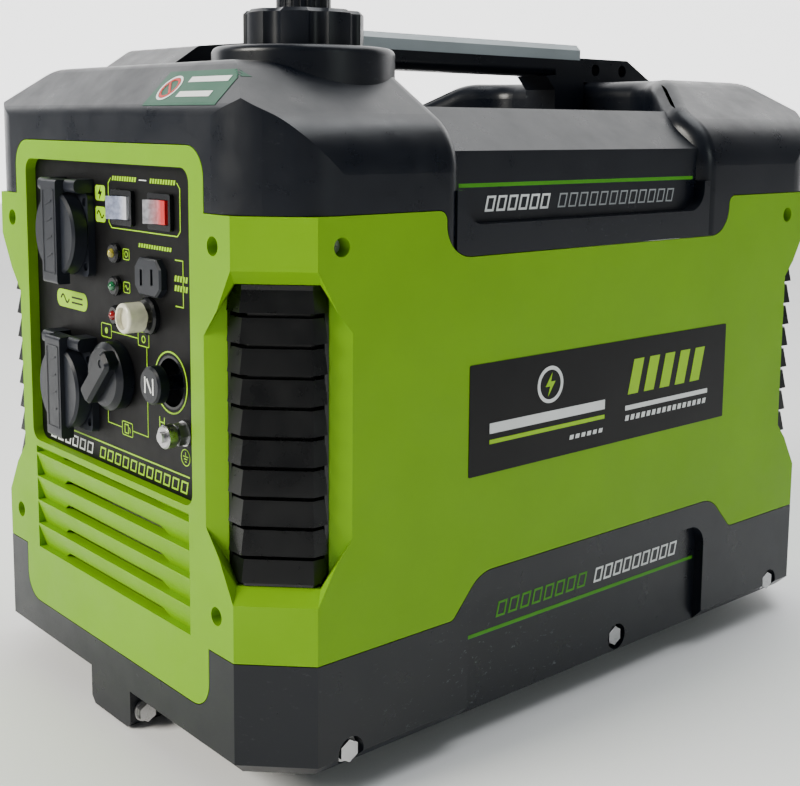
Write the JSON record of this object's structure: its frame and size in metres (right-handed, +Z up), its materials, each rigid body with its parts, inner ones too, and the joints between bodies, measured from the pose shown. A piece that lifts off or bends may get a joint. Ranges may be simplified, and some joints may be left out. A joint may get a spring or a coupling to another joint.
{
  "type": "inverter generator",
  "caption": "Enclosed portable inverter generator with a recessed control panel, corner air grilles, a fixed top handle and a screw fuel cap.",
  "frame": {"origin": "on the ground under the middle of the casing", "axes": "+X to the right side, -Y out of the control panel, +Z up"},
  "size_m": [0.3328, 0.523, 0.432],
  "materials": {
    "green_plastic": "satin moulded, fine grain",
    "black_plastic": "satin moulded, fine grain",
    "grille_plastic": "matt moulded",
    "panel_plastic": "matt",
    "socket_plastic": "satin moulded",
    "switch_plastic": "gloss",
    "rocker_clear": "clear gloss",
    "rocker_red": "clear gloss, red",
    "lens_yellow": "gloss lens",
    "lens_green": "gloss lens",
    "lens_red": "gloss lens",
    "breaker_cream": "translucent moulding",
    "steel": "zinc plated",
    "handle_grey": "satin moulded",
    "foot_rubber": "matt",
    "label": "printed film",
    "cast": "as cast",
    "iron": "machined",
    "tank_steel": "paint",
    "muffler_steel": "heat tinted",
    "winding": "varnished copper on laminated iron"
  },
  "bodies": {
    "casing": {"front_cover": "green_plastic", "rear_cover": "green_plastic", "side_cover_right": "green_plastic", "side_cover_left": "green_plastic", "top_shell_right": "black_plastic", "top_shell_left": "black_plastic", "base_right": "black_plastic", "base_left": "black_plastic", "handle_grip": "black_plastic", "corner_grille_front_right": "grille_plastic", "corner_grille_front_left": "grille_plastic", "corner_grille_rear_right": "grille_plastic", "corner_grille_rear_left": "grille_plastic", "control_panel": "panel_plastic", "socket_upper": "socket_plastic", "socket_upper_pin": "steel", "socket_lower": "socket_plastic", "socket_lower_pin": "steel", "economy_switch_frame": "switch_plastic", "engine_switch_frame": "switch_plastic", "lamp_bezels": "switch_plastic", "lamp_lens_oil": "lens_yellow", "lamp_lens_output": "lens_green", "lamp_lens_overload": "lens_red", "dc_outlet": "socket_plastic", "breaker_body": "switch_plastic", "fuel_valve": "cast", "choke_bush": "switch_plastic", "ground_stud": "steel", "ground_nuts": "steel", "fuel_tank": "tank_steel", "handle_bar": "handle_grey", "cover_screws": "steel", "base_bolts": "steel", "boss_bolts": "steel", "rubber_feet": "foot_rubber", "side_labels": "label", "engine_block": "cast", "spark_plug": "steel", "stator": "winding", "recoil_housing": "tank_steel", "muffler": "muffler_steel", "carburettor": "cast", "air_filter": "switch_plastic", "inverter_module": "cast"},
    "upper_lid": {"socket_upper_lid": "socket_plastic"},
    "lower_lid": {"socket_lower_lid": "socket_plastic"},
    "economy_rocker": {"economy_switch_rocker": "rocker_clear"},
    "engine_rocker": {"engine_switch_rocker": "rocker_red"},
    "breaker": {"breaker_button": "breaker_cream"},
    "fuel_knob": {"fuel_valve_knob": "black_plastic"},
    "choke": {"choke_knob": "black_plastic"},
    "cap": {"fuel_cap": "black_plastic"},
    "vent": {"vent_knob": "black_plastic"},
    "crank": {"crankshaft": "iron", "rotor_fan": "iron"},
    "reel": {"recoil_reel": "switch_plastic"},
    "pull_grip": {"recoil_grip": "socket_plastic"}
  },
  "joints": [
    {"name": "upper_lid_hinge", "type": "hinge", "parent": "casing", "child": "upper_lid", "pos_m": [-0.0435, -0.252, 0.3195], "axis": [-1, 0, 0], "range_deg": [0, 100], "stiffness_Nm_per_rad": 0.012, "springref_deg": -28.65},
    {"name": "lower_lid_hinge", "type": "hinge", "parent": "casing", "child": "lower_lid", "pos_m": [-0.0435, -0.252, 0.2255], "axis": [-1, 0, 0], "range_deg": [0, 100], "stiffness_Nm_per_rad": 0.012, "springref_deg": -28.65},
    {"name": "economy_rocker_tilt", "type": "hinge", "parent": "casing", "child": "economy_rocker", "pos_m": [0.0175, -0.2405, 0.309], "axis": [0, 0, 1], "range_deg": [0, 20]},
    {"name": "engine_rocker_tilt", "type": "hinge", "parent": "casing", "child": "engine_rocker", "pos_m": [0.0595, -0.2405, 0.309], "axis": [0, 0, 1], "range_deg": [0, 20]},
    {"name": "breaker_push", "type": "slide", "parent": "casing", "child": "breaker", "axis": [0, 1, 0], "range_m": [0, 0.0025]},
    {"name": "fuel_knob_turn", "type": "hinge", "parent": "casing", "child": "fuel_knob", "pos_m": [0.006, -0.2435, 0.211], "axis": [0, -1, 0], "range_deg": [0, 90]},
    {"name": "choke_pull", "type": "slide", "parent": "casing", "child": "choke", "axis": [0, -1, 0], "range_m": [0, 0.018]},
    {"name": "cap_turn", "type": "hinge", "parent": "casing", "child": "cap", "pos_m": [0.072, -0.158, 0.3995], "axis": [0, 0, 1], "range_deg": [0, 90]},
    {"name": "vent_turn", "type": "hinge", "parent": "cap", "child": "vent", "pos_m": [0.072, -0.158, 0.42], "axis": [0, 0, 1], "range_deg": [0, 90]},
    {"name": "crank_spin", "type": "hinge", "parent": "casing", "child": "crank", "pos_m": [0, 0.07, 0.12], "axis": [1, 0, 0], "continuous": true},
    {"name": "recoil_pull", "type": "slide", "parent": "casing", "child": "pull_grip", "axis": [-1, 0, 0], "range_m": [0, 0.5]},
    {"name": "reel_spin", "type": "hinge", "parent": "casing", "child": "reel", "pos_m": [-0.096, 0.07, 0.12], "axis": [1, 0, 0], "range_deg": [0, 716.5]}
  ],
  "couplings": [
    {"joint": "reel_spin", "follows": "recoil_pull", "rad_per_m": 25}
  ]
}
